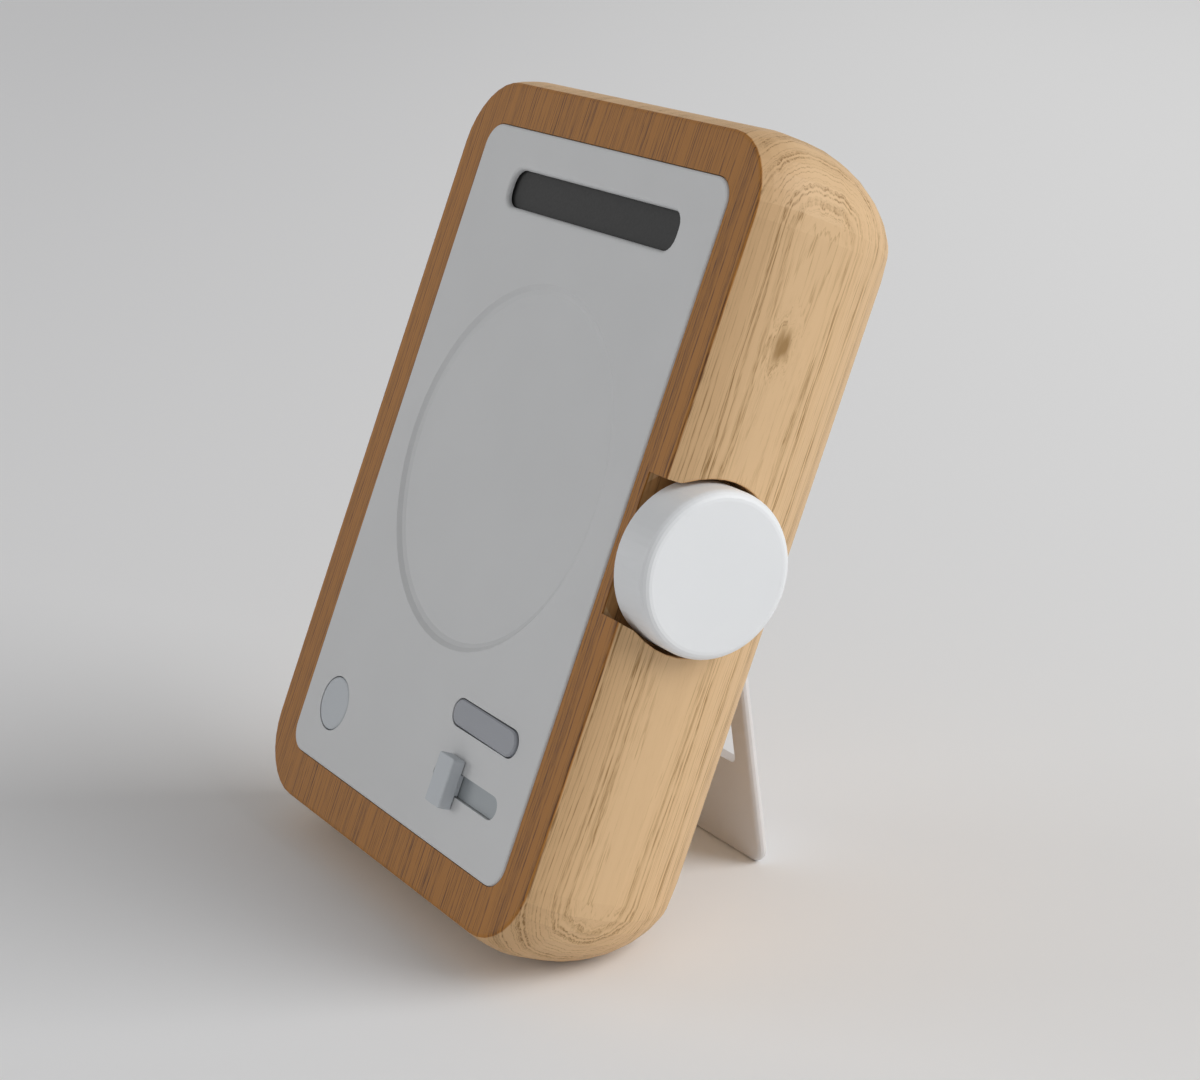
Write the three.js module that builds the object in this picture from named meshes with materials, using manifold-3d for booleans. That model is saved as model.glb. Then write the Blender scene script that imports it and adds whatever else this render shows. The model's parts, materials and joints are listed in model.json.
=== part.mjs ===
// Meditation timer: a wooden desk case that leans back on its own kickstand.
// Millimetres. Every piece is drawn in the case's own frame: x to the right,
// y up along the case, z out of the front, with z = 0 on the wood's front face.
// The last lines lean the whole timer back and stand it on the floor, +Z up.
import * as THREE from 'three';
import { mergeVertices } from 'three/addons/utils/BufferGeometryUtils.js';
import Module from 'manifold-3d';

const wasm = await Module();
wasm.setup();

// Fits: the gap between pieces that touch, and the clearance of moving pieces.
const seatGap = 0.3;
const runningGap = 0.2;

// Stance.
const leanAngle = THREE.MathUtils.degToRad(21.5);
const standTilt = THREE.MathUtils.degToRad(8);

// Wooden case, measured at its front edge. The sides swell from that edge to
// a crown and then roll round into the back.
const caseWidth = 83.7;
const caseHeight = 120.1;
const caseCornerRadius = 10.8;
const crownAngle = THREE.MathUtils.degToRad(28.5);
const crownRadius = 16.5;
const backRadius = 26;
const backCornerRadius = 5;
const frontEdgeRound = 0.4;
const backWall = 9.5;
const ledgeWidth = 4;
const ledgeHeight = 2.8;
const cavityCornerRadius = 4;

// Front panel and what is cut in it, placed from its centre or its edges.
const rimWidth = 6.85;
const rimHeight = 7;
const panelRise = 0.25;
const panelThickness = 2;
const panelProud = 0.3;
const panelCornerRadius = 3.8;
const panelEdgeRound = 0.35;
const panelGap = 0.1;
const dishRadius = 28.55;
const dishSlope = 1.45;
const dishDepth = 0.8;
const dishRise = 2.75;

// Display window and the module behind it.
const windowWidth = 48.8;
const windowHeight = 6;
const windowCornerRadius = 2.4;
const windowLip = 0.7;
const windowDrop = 9.2;
const windowX = 1;
const windowRecess = 1.2;
const lensFlange = 1.6;
const lensThickness = 1;
const displayThickness = 2.8;
const collarWall = 1;

// Round start button.
const buttonRadius = 4.3;
const buttonGap = 0.15;
const buttonInsetX = 9.72;
const buttonInsetY = 9.95;
const buttonTravel = 0.6;
const buttonFlange = 1;
const buttonFlangeThickness = 0.8;
const buttonStemRadius = 1.5;
const switchBody = 6;
const switchBodyHeight = 2;
const plungerRadius = 1.2;

// Rocker key on a seesaw pivot, with one detector switch under each arm.
const controlsInset = 6.4;
const rockerLength = 19.3;
const rockerHeight = 4;
const rockerGap = 0.2;
const rockerUp = 19.93;
const rockerProud = 0.25;
const rockerThickness = 1.8;
const rockerRestTilt = THREE.MathUtils.degToRad(1.6);
const rockerPivotDepth = 3.4;
const rockerPinRadius = 0.6;
const rockerPinLength = 4.6;
const rockerLegWidth = 2.4;
const rockerLegDepth = 2;
const rockerArm = 6.5;
const rockerFootRadius = 0.9;
const cheekThickness = 1;
const detectorBody = 3.5;
const detectorHeight = 1.8;
const detectorPlungerRadius = 0.8;

// Slide control: a knob that its magnet holds in a shallow track, which has a
// darker strip let into its floor.
const trackLength = 19.4;
const trackHeight = 3.6;
const trackDepth = 0.7;
const trackUp = 10.15;
const linerThickness = 0.5;
const linerGap = 0.1;
const sliderWidth = 4.4;
const sliderHeight = 7.7;
const sliderLift = 2.25;
const sliderGap = 0.12;
const sliderRound = 0.2;
const sliderRunnerWidth = 3.2;
const sliderStart = 5.75;
const magnetWidth = 2;
const magnetHeight = 4;
const magnetThickness = 1.2;
const keeperThickness = 0.5;
const sensorThickness = 1;

// Dial: a knob on the right side, in a round pocket that opens to the front.
const dialRadius = 12.3;
const dialThickness = 8.15;
const dialEdgeRound = 1.45;
const dialDepth = 9.6;
const dialRise = 0.5;
const dialHollowRadius = 9.2;
const dialHollowDepth = 2.8;
const dialBoreEnd = 2;
const pocketGap = 0.68;
const pocketDepth = 4.25;
const pocketClearance = 2.2;
const notchLipRadius = 2;
const notchLipRise = 0.4;
const shaftRadius = 3;
const shaftFlat = 0.8;
const bushingRadius = 4.2;
const bushingLength = 2.6;
const encoderWidth = 12.4;
const encoderHeight = 13.2;
const encoderDepth = 6.5;
const nutAcross = 11;
const nutThickness = 1.9;

// Inside, from the panel back to the cavity floor.
const padThickness = 1;
const padRadius = 12;
const padBore = 7;
const exciterRadius = 15;
const exciterDepth = 7;
const boardClearance = 2.7;
const boardThickness = 1.6;
const boardWidth = 40;
const boardMargin = 6.25;
const standoffHeight = 1.3;
const standoffRadius = 2;
const stakeRadius = 0.9;
const trayThickness = 1.6;
const trayGap = 0.5;
const trayFrameWall = 1.2;
const trayFrameHeight = 4;
const keyBoardHeight = 19.6;
const keyBoardThickness = 1.2;
const keyBoardDrop = 5.3;
const batteryWidth = 34;
const batteryHeight = 50;
const batteryThickness = 6;
const batteryRise = -5;
const foamThickness = 2.3;

// Posts behind the panel and the screws that pull it into the case.
const postRadius = 4.4;
const postNeckRadius = 3.2;
const postInset = 5.6;
const upperPostDrop = 19.3;
const lowerPostUp = 28.8;
const screwRadius = 1.25;
const screwHeadRadius = 2.3;
const screwHeadHeight = 1.8;
const screwSeatDepth = 3.7;
const screwLength = 14;

// Charging socket in the back.
const portWidth = 8.94;
const portHeight = 3.2;
const portLength = 7.2;
const portShell = 0.35;
const portY = 14;
const portBoardWidth = 15;
const portBoardHeight = 10;
const portBoardThickness = 1;
const plugReliefWidth = 13;
const plugReliefHeight = 7.4;
const plugReliefDepth = 0.6;

// Kickstand, its bracket and its pin.
const standWidth = 37.8;
const standThickness = 1.8;
const standCornerRadius = 3;
const standEdgeRound = 0.85;
const standRail = 4.25;
const standWindowLow = 16.7;
const standWindowTop = 9;
const standWindowRadius = 1.2;
const standShoulder = 3.4;
const standSink = 0.5;
const standRecessGap = 0.5;
const hingeY = -4.05;
const hingeDepth = 2.6;
const hingePinRadius = 0.8;
const knuckleRadius = 1.6;
const earRadius = 2;
const earThickness = 1.2;
const washerThickness = 0.4;
const bracketInset = 0.5;
const bracketHeight = 10.4;
const bracketThickness = 1.2;
const bracketScrewInset = 7.4;
const bracketScrewLength = 2.4;
const bracketScrewHead = 1.2;
const bracketScrewHeadRadius = 1.6;
const bracketScrewRadius = 0.8;
const bracketScrewDrop = 4.1;
const hingePocketDepth = 6;

// Places that follow from the sizes above.
const panelWidth = caseWidth - 2 * rimWidth;
const panelHeight = caseHeight - 2 * rimHeight;
const panelFace = panelProud;
const panelBack = panelProud - panelThickness;
const panelRight = panelWidth / 2;
const panelTop = panelRise + panelHeight / 2;
const panelBottom = panelRise - panelHeight / 2;
const cavityWidth = panelWidth - 2 * ledgeWidth;
const cavityHeight = panelHeight - 2 * ledgeHeight;
const postX = cavityWidth / 2 - postInset;
const upperPostY = panelTop - upperPostDrop;
const lowerPostY = panelBottom + lowerPostUp;
const boardHeight = cavityHeight - 2 * boardMargin;
const padFront = panelBack - seatGap;
const padBack = padFront - padThickness;
const exciterFront = padBack - seatGap;
const exciterBack = exciterFront - exciterDepth;
const boardFront = exciterBack - boardClearance;
const boardBack = boardFront - boardThickness;
const trayFront = boardBack - seatGap - standoffHeight;
const trayBack = trayFront - trayThickness;
const batteryFront = trayBack - seatGap;
const batteryBack = batteryFront - batteryThickness;
const foamFront = batteryBack - seatGap;
const foamBack = foamFront - foamThickness;
const cavityFloor = foamBack - seatGap;
const caseBack = cavityFloor - backWall;
const crownSwell = crownRadius * (1 - Math.cos(crownAngle));
const crownLength = crownRadius * Math.sin(crownAngle);
const backRoll = Math.min(backRadius, -caseBack - crownLength - 1);
const rollStart = caseBack + backRoll;
const dishY = panelRise + dishRise;
const windowY = panelTop - windowDrop;
const seatWidth = windowWidth + 2 * lensFlange + 2 * seatGap;
const seatHeight = windowHeight + 2 * lensFlange + 2 * seatGap;
const lensFront = panelFace - windowRecess;
const lensBack = lensFront - lensThickness;
const displayFront = lensBack - seatGap;
const displayBack = displayFront - displayThickness;
const buttonX = buttonInsetX - panelRight;
const buttonY = panelBottom + buttonInsetY;
const controlsX = panelRight - controlsInset - trackLength / 2;
const rockerY = panelBottom + rockerUp;
const trackY = panelBottom + trackUp;
const trackFloor = panelFace - trackDepth;
const trackLeft = controlsX - trackLength / 2;
const linerBack = trackFloor - linerThickness;
const keyBoardFront = panelBack - keyBoardDrop;
const keyBoardTop = rockerY + 3;
const keyBoardY = keyBoardTop - keyBoardHeight / 2;
const keyBoardWidth = cavityWidth - 2 * trayGap;
const rockerPivotZ = panelFace + rockerProud - rockerPivotDepth;
const detectorTop = keyBoardFront + seatGap + detectorHeight + 0.7;
const pocketFloorX = caseWidth / 2 - pocketDepth;
const dialInnerX = pocketFloorX + pocketClearance;
const dialOuterX = dialInnerX + dialThickness;
const dialHollowX = dialInnerX + dialHollowDepth;
const notchLipOffset = dialRadius + notchLipRise;
const encoderFace = cavityWidth / 2 - seatGap;
const standOuter = caseBack + standSink;
const standInner = standOuter + standThickness;
const recessFloor = standInner + seatGap;
const hingeZ = caseBack + hingeDepth;
const hingePocketFloor = caseBack + hingePocketDepth;
const bracketBack = hingePocketFloor - seatGap;
const bracketFace = bracketBack - bracketThickness;
const standOpen = leanAngle + standTilt;
const innerOffset = standInner - hingeZ;
const heelCorner = standEdgeRound * (Math.cos(standOpen) + Math.sin(standOpen) - 1);
const heelDepth = bracketFace - seatGap - hingeZ - innerOffset * Math.cos(standOpen) + heelCorner;
const heelLength = heelDepth / Math.sin(standOpen);
const recessTop = hingeY + Math.hypot(heelLength, standOuter - hingeZ) + seatGap;
const recessWidth = standWidth + 2 * standRecessGap;
const standWindowWidth = standWidth - 2 * standRail;
const bracketLength = standWidth - 2 * bracketInset;
const bracketScrewX = bracketLength / 2 - bracketScrewInset - bracketInset;
const earInner = bracketLength / 2 - earThickness;
const barrelHalf = earInner - washerThickness - 2 * runningGap;
const bracketTop = recessTop - seatGap;
const bracketScrewY = hingeY - bracketScrewDrop;
const bracketScrewTip = hingePocketFloor + bracketScrewLength;

// Height of a point above the floor once the case leans back.
const groundY = -(caseHeight / 2 + crownSwell - backRoll * (1 - Math.cos(leanAngle)));
const groundZ = rollStart - backRoll * Math.sin(leanAngle);
const heightOf = (y, z) => (y - groundY) * Math.cos(leanAngle) + (z - groundZ) * Math.sin(leanAngle);
const footDrop = (standEdgeRound - innerOffset) * Math.sin(standTilt) - standEdgeRound;
const standReach = standEdgeRound + (heightOf(hingeY, hingeZ) + footDrop) / Math.cos(standTilt);

// Finishes.
function finish(color, roughness, metalness = 0) {
  return new THREE.MeshStandardMaterial({ color, roughness, metalness });
}

const wood = finish(0xbf9a66, 0.55);
const panelAbs = finish(0xdcdde0, 0.5);
const keyAbs = finish(0xb4b9c0, 0.5);
const linerAbs = finish(0xaab0b4, 0.5);
const knobAbs = finish(0xe2e3e5, 0.45);
const trayAbs = finish(0x2a2b2d, 0.6);
const smokedAcrylic = finish(0x2b2b2b, 0.25);
const blackPlastic = finish(0x1d1d1f, 0.6);
const epoxyBoard = finish(0x1f4a36, 0.6);
const steel = finish(0xb9bbbd, 0.3, 1);
const nickel = finish(0xc8c8c4, 0.25, 1);
const brass = finish(0xb08d4c, 0.3, 1);
const satinAluminium = finish(0xcfd0d1, 0.4, 1);
const whitePaint = finish(0xdedddc, 0.5);
const foam = finish(0x3a3a3c, 0.95);
const foil = finish(0xa7abb0, 0.45);
const nylon = finish(0xe8e6df, 0.6);

// Joining and cutting closed meshes.
function toSolid(geometry) {
  const bare = geometry.clone();
  bare.deleteAttribute('normal');
  bare.deleteAttribute('uv');
  const merged = mergeVertices(bare, 1e-4);
  const vertProperties = new Float32Array(merged.attributes.position.array);
  const triVerts = new Uint32Array(merged.index.array);
  return new wasm.Manifold(new wasm.Mesh({ numProp: 3, vertProperties, triVerts }));
}

function toGeometry(solid) {
  const mesh = solid.getMesh();
  const geometry = new THREE.BufferGeometry();
  geometry.setAttribute('position', new THREE.BufferAttribute(mesh.vertProperties, 3));
  geometry.setIndex(new THREE.BufferAttribute(mesh.triVerts, 1));
  geometry.computeVertexNormals();
  return geometry;
}

function cut(body, ...tools) {
  const solid = tools.reduce((left, tool) => left.subtract(toSolid(tool)), toSolid(body));
  return toGeometry(solid);
}

function join(body, ...extras) {
  const solid = extras.reduce((sum, extra) => sum.add(toSolid(extra)), toSolid(body));
  return toGeometry(solid);
}

// Outlines.
function roundedRectangle(width, height, radius) {
  const x = width / 2 - radius;
  const y = height / 2 - radius;
  const shape = new THREE.Shape();
  shape.absarc(x, y, radius, 0, 0.5 * Math.PI);
  shape.absarc(-x, y, radius, 0.5 * Math.PI, Math.PI);
  shape.absarc(-x, -y, radius, Math.PI, 1.5 * Math.PI);
  shape.absarc(x, -y, radius, 1.5 * Math.PI, 2 * Math.PI);
  shape.closePath();
  return shape;
}

function pill(length, height) {
  const radius = height / 2;
  const x = length / 2 - radius;
  const shape = new THREE.Shape();
  shape.absarc(x, 0, radius, -0.5 * Math.PI, 0.5 * Math.PI);
  shape.absarc(-x, 0, radius, 0.5 * Math.PI, 1.5 * Math.PI);
  shape.closePath();
  return shape;
}

// Solids that end at the two z values given.
function prism(shape, zLow, zHigh, curveSegments = 4) {
  const depth = zHigh - zLow;
  const geometry = new THREE.ExtrudeGeometry(shape, { depth, bevelEnabled: false, curveSegments });
  return geometry.translate(0, 0, zLow);
}

function softPrism(shape, zLow, zHigh, round, curveSegments = 4, bevelSegments = 2) {
  const geometry = new THREE.ExtrudeGeometry(shape, {
    depth: zHigh - zLow - 2 * round,
    bevelEnabled: true,
    bevelThickness: round,
    bevelSize: round,
    bevelOffset: -round,
    bevelSegments,
    curveSegments,
  });
  return geometry.translate(0, 0, zLow + round);
}

function block(width, height, zLow, zHigh) {
  return new THREE.BoxGeometry(width, height, zHigh - zLow).translate(0, 0, (zLow + zHigh) / 2);
}

function rod(radius, zLow, zHigh, sides = 20) {
  const geometry = new THREE.CylinderGeometry(radius, radius, zHigh - zLow, sides);
  return geometry.rotateX(Math.PI / 2).translate(0, 0, (zLow + zHigh) / 2);
}

// A turned piece on the z axis; its profile of [radius, z] runs from low to high.
function turned(profile, sides = 32) {
  const points = profile.map(([radius, z]) => new THREE.Vector2(radius, z));
  return new THREE.LatheGeometry(points, sides).rotateX(Math.PI / 2);
}

// Turns a piece that was drawn along z so that it runs along x, or along y.
const alongX = (geometry) => geometry.rotateY(Math.PI / 2);
const alongY = (geometry) => geometry.rotateX(Math.PI / 2);

const copies = (places, draw) => places.map(([x, y]) => draw().translate(x, y, 0));

function roundOutline(width, height, cornerRadius, z, steps) {
  const points = [];
  const corners = [[1, 1], [-1, 1], [-1, -1], [1, -1]];
  corners.forEach(([sideX, sideY], quarter) => {
    for (let step = 0; step <= steps; step += 1) {
      const angle = (quarter + step / steps) * (Math.PI / 2);
      const x = sideX * (width / 2 - cornerRadius) + cornerRadius * Math.cos(angle);
      const y = sideY * (height / 2 - cornerRadius) + cornerRadius * Math.sin(angle);
      points.push(new THREE.Vector3(x, y, z));
    }
  });
  return points;
}

// Skins a stack of outlines, listed from front to back, and closes both ends.
function loft(outlines) {
  const count = outlines[0].length;
  const lastRing = (outlines.length - 1) * count;
  const positions = outlines.flat().flatMap((point) => point.toArray());
  const frontCentre = positions.length / 3;
  const backCentre = frontCentre + 1;
  positions.push(0, 0, outlines[0][0].z, 0, 0, outlines.at(-1)[0].z);
  const index = [];
  for (let step = 0; step < count; step += 1) {
    const next = (step + 1) % count;
    for (let ring = 0; ring < lastRing; ring += count) {
      const [a, b] = [ring + step, ring + next];
      index.push(a, a + count, b, b, a + count, b + count);
    }
    index.push(frontCentre, step, next);
    index.push(backCentre, lastRing + next, lastRing + step);
  }
  const geometry = new THREE.BufferGeometry();
  geometry.setAttribute('position', new THREE.Float32BufferAttribute(positions, 3));
  geometry.setIndex(index);
  return geometry;
}

// How far the case stands outside its front edge at each depth: a small edge
// round, the crown's arc, and the roll into the back.
function caseProfile() {
  const profile = [];
  const edgeAngle = Math.asin(Math.sin(crownAngle) - frontEdgeRound / crownRadius);
  const outAt = (angle) => crownRadius * (Math.cos(angle) - Math.cos(crownAngle));
  for (const turn of [1, 0.66, 0.33]) {
    const angle = turn * (Math.PI / 2);
    const reach = frontEdgeRound + outAt(edgeAngle);
    profile.push([reach * Math.cos(angle) - frontEdgeRound, frontEdgeRound * (Math.sin(angle) - 1)]);
  }
  const crownSteps = 5;
  for (let step = 0; step <= crownSteps; step += 1) {
    const angle = edgeAngle * (1 - step / crownSteps);
    profile.push([outAt(angle), crownRadius * (Math.sin(angle) - Math.sin(crownAngle))]);
  }
  const rollSteps = 12;
  for (let step = 0; step <= rollSteps; step += 1) {
    const angle = (step / rollSteps) * (Math.PI / 2);
    const out = crownSwell - backRoll * (1 - Math.cos(angle));
    profile.push([out, rollStart - backRoll * Math.sin(angle)]);
  }
  return profile;
}

function caseBlock() {
  const outlines = caseProfile().map(([out, z]) => {
    const corner = Math.max(caseCornerRadius + out, backCornerRadius);
    return roundOutline(caseWidth + 2 * out, caseHeight + 2 * out, corner, z, 8);
  });
  return loft(outlines);
}

// The dial's pocket: a round hole through the side that opens to the front
// through a straight mouth, with a rounded lip where the two meet.
function dialPocket() {
  const radius = dialRadius + pocketGap;
  const reach = radius + notchLipRadius;
  const lipDepth = dialDepth - Math.sqrt(reach ** 2 - notchLipOffset ** 2);
  const mouth = notchLipOffset - notchLipRadius;
  const meet = Math.atan2(notchLipOffset, lipDepth - dialDepth);
  const shape = new THREE.Shape();
  shape.moveTo(lipDepth - caseWidth, -mouth);
  shape.absarc(lipDepth, -notchLipOffset, notchLipRadius, Math.PI / 2, Math.PI - meet, true);
  shape.absarc(dialDepth, 0, radius, -meet, meet, false);
  shape.absarc(lipDepth, notchLipOffset, notchLipRadius, meet - Math.PI, -Math.PI / 2, true);
  shape.lineTo(lipDepth - caseWidth, mouth);
  shape.closePath();
  return alongX(prism(shape, pocketFloorX, caseWidth, 14)).translate(0, dialRise, 0);
}

const postPlaces = [
  [-postX, upperPostY],
  [postX, upperPostY],
  [-postX, lowerPostY],
  [postX, lowerPostY],
];
const stakePlaces = [
  [-16, keyBoardTop - 2.5],
  [3.5, keyBoardTop - 2.5],
  [-16, keyBoardTop - keyBoardHeight + 2.5],
  [controlsX + trackLength / 2 - 1, keyBoardTop - keyBoardHeight + 2.5],
];
const standoffPlaces = [-1, 1].flatMap((side) => [-1, 0, 1].map((row) => [
  side * (boardWidth / 2 - 3.5),
  row * (boardHeight / 2 - 4),
]));
const bracketScrewPlaces = [-bracketScrewX, bracketScrewX].map((x) => [x, bracketScrewY]);

function screwHole() {
  const seat = caseBack + screwSeatDepth;
  const shank = rod(screwRadius + runningGap, caseBack - 1, cavityFloor + 1, 10);
  return join(shank, rod(screwHeadRadius + seatGap, caseBack - 1, seat, 14));
}

function portOpening() {
  const hole = pill(portWidth + 2 * seatGap, portHeight + 2 * seatGap);
  const relief = pill(plugReliefWidth, plugReliefHeight);
  const seatDepth = portBoardThickness + 2 * seatGap;
  const boardSeat = block(
    portBoardWidth + 2 * seatGap,
    portBoardHeight + 2 * seatGap,
    cavityFloor - seatDepth,
    cavityFloor + 1,
  );
  return join(
    prism(hole, caseBack - 1, cavityFloor, 6),
    prism(relief, caseBack - 1, caseBack + plugReliefDepth, 8),
    boardSeat,
  ).translate(0, portY, 0);
}

function standRecess() {
  const below = caseHeight;
  const shallow = block(recessWidth, below, caseBack - 5, recessFloor);
  const pocketHeight = bracketHeight + 2 * seatGap;
  const deep = block(recessWidth, pocketHeight, caseBack - 5, hingePocketFloor);
  return join(
    shallow.translate(0, recessTop - below / 2, 0),
    deep.translate(0, recessTop - pocketHeight / 2, 0),
  );
}

function woodCase() {
  const pocketShape = roundedRectangle(
    panelWidth + 2 * panelGap,
    panelHeight + 2 * panelGap,
    panelCornerRadius + panelGap,
  );
  const panelPocket = prism(pocketShape, panelBack - seatGap, 5).translate(0, panelRise, 0);
  const cavityShape = roundedRectangle(cavityWidth, cavityHeight, cavityCornerRadius);
  const cavity = prism(cavityShape, cavityFloor, 0).translate(0, panelRise, 0);
  const bushingHole = alongX(rod(bushingRadius + runningGap, encoderFace, pocketFloorX + 1));
  const pilot = () => rod(bracketScrewRadius + 0.1, hingePocketFloor - 1, bracketScrewTip + seatGap, 12);
  return cut(
    caseBlock(),
    panelPocket,
    cavity,
    collarRelief(),
    dialPocket(),
    bushingHole.translate(0, dialRise, -dialDepth),
    standRecess(),
    portOpening(),
    ...copies(postPlaces, screwHole),
    ...copies(bracketScrewPlaces, pilot),
  );
}

// Room in the case for the collar that stands behind the panel.
function collarRelief() {
  const width = seatWidth + 2 * collarWall + 2 * runningGap;
  const height = seatHeight + 2 * collarWall + 2 * runningGap;
  return block(width, height, displayBack - seatGap, 0).translate(windowX, windowY, 0);
}

// A hole whose front edge is rounded over by the lip.
function softHole(width, height, cornerRadius, lip, zLow) {
  const outlines = [roundOutline(width + 2 * lip, height + 2 * lip, cornerRadius + lip, panelFace + 1, 5)];
  for (const turn of [0, 0.25, 0.5, 0.75, 1]) {
    const angle = turn * (Math.PI / 2);
    const out = lip * (1 - Math.sin(angle));
    const z = panelFace - lip * (1 - Math.cos(angle));
    outlines.push(roundOutline(width + 2 * out, height + 2 * out, cornerRadius + out, z, 5));
  }
  outlines.push(roundOutline(width, height, cornerRadius, zLow, 5));
  return loft(outlines);
}

// One hollow post: its shoulder stops the tray, its neck reaches the case.
function panelPost() {
  const foot = cavityFloor + seatGap;
  const shoulder = trayFront + seatGap;
  const post = turned([
    [0, foot],
    [postNeckRadius, foot],
    [postNeckRadius, shoulder],
    [postRadius, shoulder],
    [postRadius, panelBack + 0.5],
    [0, panelBack + 0.5],
  ], 14);
  return post;
}

function keyStake() {
  const tip = keyBoardFront - keyBoardThickness - 0.8;
  return turned([
    [0, tip],
    [stakeRadius, tip],
    [stakeRadius, keyBoardFront + seatGap],
    [1.9, keyBoardFront + seatGap],
    [1.9, panelBack + 0.5],
    [0, panelBack + 0.5],
  ], 10);
}

function displayCollar() {
  const [width, height] = [seatWidth + 2 * collarWall, seatHeight + 2 * collarWall];
  const outer = block(width, height, displayBack, panelBack + 0.5);
  return cut(outer, block(seatWidth, seatHeight, displayBack - 1, panelBack + 1))
    .translate(windowX, windowY, 0);
}

function frontPanel() {
  const plateShape = roundedRectangle(panelWidth, panelHeight, panelCornerRadius);
  const plate = softPrism(plateShape, panelBack, panelFace, panelEdgeRound, 5).translate(0, panelRise, 0);
  const dishFloor = panelFace - dishDepth;
  const dish = turned([
    [0, dishFloor],
    [dishRadius - dishSlope, dishFloor],
    [dishRadius - dishSlope / 2, dishFloor + dishDepth * 0.32],
    [dishRadius, panelFace],
    [dishRadius, panelFace + 1],
    [0, panelFace + 1],
  ], 64);
  const windowHole = softHole(windowWidth, windowHeight, windowCornerRadius, windowLip, panelBack - 1);
  const lensSeat = block(seatWidth, seatHeight, panelBack - 1, lensFront + seatGap);
  const keyHole = prism(pill(rockerLength + 2 * rockerGap, rockerHeight + 2 * rockerGap), -5, 5, 8);
  const track = prism(pill(trackLength, trackHeight), linerBack - seatGap, 5, 8);
  const screwBore = () => rod(screwRadius - 0.1, cavityFloor, cavityFloor + 10, 8);
  const shell = join(
    plate,
    displayCollar(),
    ...copies(postPlaces, panelPost),
    ...copies(stakePlaces, keyStake),
  );
  return cut(
    shell,
    dish.translate(0, dishY, 0),
    windowHole.translate(windowX, windowY, 0),
    lensSeat.translate(windowX, windowY, 0),
    rod(buttonRadius + buttonGap, -5, 5, 32).translate(buttonX, buttonY, 0),
    keyHole.translate(controlsX, rockerY, 0),
    track.translate(controlsX, trackY, 0),
    ...copies(postPlaces, screwBore),
  );
}

function displayWindow() {
  const width = windowWidth + 2 * lensFlange;
  const height = windowHeight + 2 * lensFlange;
  return block(width, height, lensBack, lensFront).translate(windowX, windowY, 0);
}

function displayModule() {
  const width = windowWidth + 2 * lensFlange - 2;
  const height = windowHeight + 2 * lensFlange - 1;
  const backPlate = block(width, height, displayBack, displayFront - 1.4);
  const glass = block(width - 3, height - 2.4, displayFront - 1.6, displayFront);
  return join(backPlate, glass).translate(windowX, windowY, 0);
}

// The button's cap, the flange that stops it under the panel, and its stem.
function startButton() {
  const flangeFront = panelBack - seatGap;
  const flangeBack = flangeFront - buttonFlangeThickness;
  const stemEnd = keyBoardFront + seatGap + switchBodyHeight + 0.6 + buttonTravel + runningGap;
  return turned([
    [0, stemEnd],
    [buttonStemRadius, stemEnd],
    [buttonStemRadius, flangeBack],
    [buttonRadius + buttonFlange, flangeBack],
    [buttonRadius + buttonFlange, flangeFront],
    [buttonRadius, flangeFront],
    [buttonRadius, panelFace - 0.25],
    [buttonRadius - 0.08, panelFace - 0.08],
    [buttonRadius - 0.3, panelFace],
    [0, panelFace],
  ], 32).translate(buttonX, buttonY, 0);
}

function startSwitch() {
  const base = keyBoardFront + seatGap;
  const body = block(switchBody, switchBody, base, base + switchBodyHeight);
  const plunger = rod(plungerRadius, base + 0.5, base + switchBodyHeight + 0.6, 16);
  return join(body, plunger).translate(buttonX, buttonY, 0);
}

// The rocker is drawn level about its own pivot; its group tilts it.
function modeRocker() {
  const top = rockerPivotDepth;
  const under = top - rockerThickness;
  const key = softPrism(pill(rockerLength, rockerHeight), under, top, 0.2, 7, 1);
  const leg = block(rockerLegWidth, rockerLegDepth, -1, under + 0.4);
  const bore = alongY(rod(rockerPinRadius + 0.15, -5, 5, 12));
  const footEnd = detectorTop - rockerPivotZ + runningGap + rockerArm * Math.sin(rockerRestTilt);
  const feet = [-rockerArm, rockerArm].map((x) => rod(rockerFootRadius, footEnd, under + 0.4, 12)
    .translate(x, 0, 0));
  return cut(join(key, leg, ...feet), bore);
}

// Two cheeks on a base that hold the rocker's pin.
function rockerMount() {
  const base = keyBoardFront + seatGap - rockerPivotZ;
  const cheekInner = rockerLegDepth / 2 + runningGap;
  const width = 2 * (cheekInner + cheekThickness);
  const blank = block(4, width, base, 0.8);
  const slot = block(6, 2 * cheekInner, base + 0.9, 5);
  return cut(blank, slot, alongY(rod(rockerPinRadius + 0.05, -5, 5, 12)));
}

function rockerPin() {
  return alongY(rod(rockerPinRadius - 0.05, -rockerPinLength / 2, rockerPinLength / 2, 12));
}

function detectorSwitch() {
  const base = keyBoardFront + seatGap;
  const body = block(detectorBody, detectorBody, base, base + detectorHeight);
  return join(body, rod(detectorPlungerRadius, base + 0.5, detectorTop, 12));
}

// The slide knob straddles the track; two runners on its underside guide it,
// and the magnet sits between them.
function slideKnob() {
  const base = panelFace + sliderGap;
  const capShape = roundedRectangle(sliderWidth, sliderHeight, 0.35);
  const cap = softPrism(capShape, base, panelFace + sliderLift, sliderRound, 2);
  const runners = block(sliderWidth - 0.6, sliderRunnerWidth, trackFloor + runningGap, base + 1);
  const magnetHole = block(
    magnetWidth + 2 * runningGap,
    magnetHeight + 2 * runningGap,
    trackFloor,
    base + magnetThickness + runningGap,
  );
  return cut(join(cap, runners), magnetHole);
}

function slideMagnet() {
  const base = panelFace + sliderGap;
  return block(magnetWidth, magnetHeight, base, base + magnetThickness);
}

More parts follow.
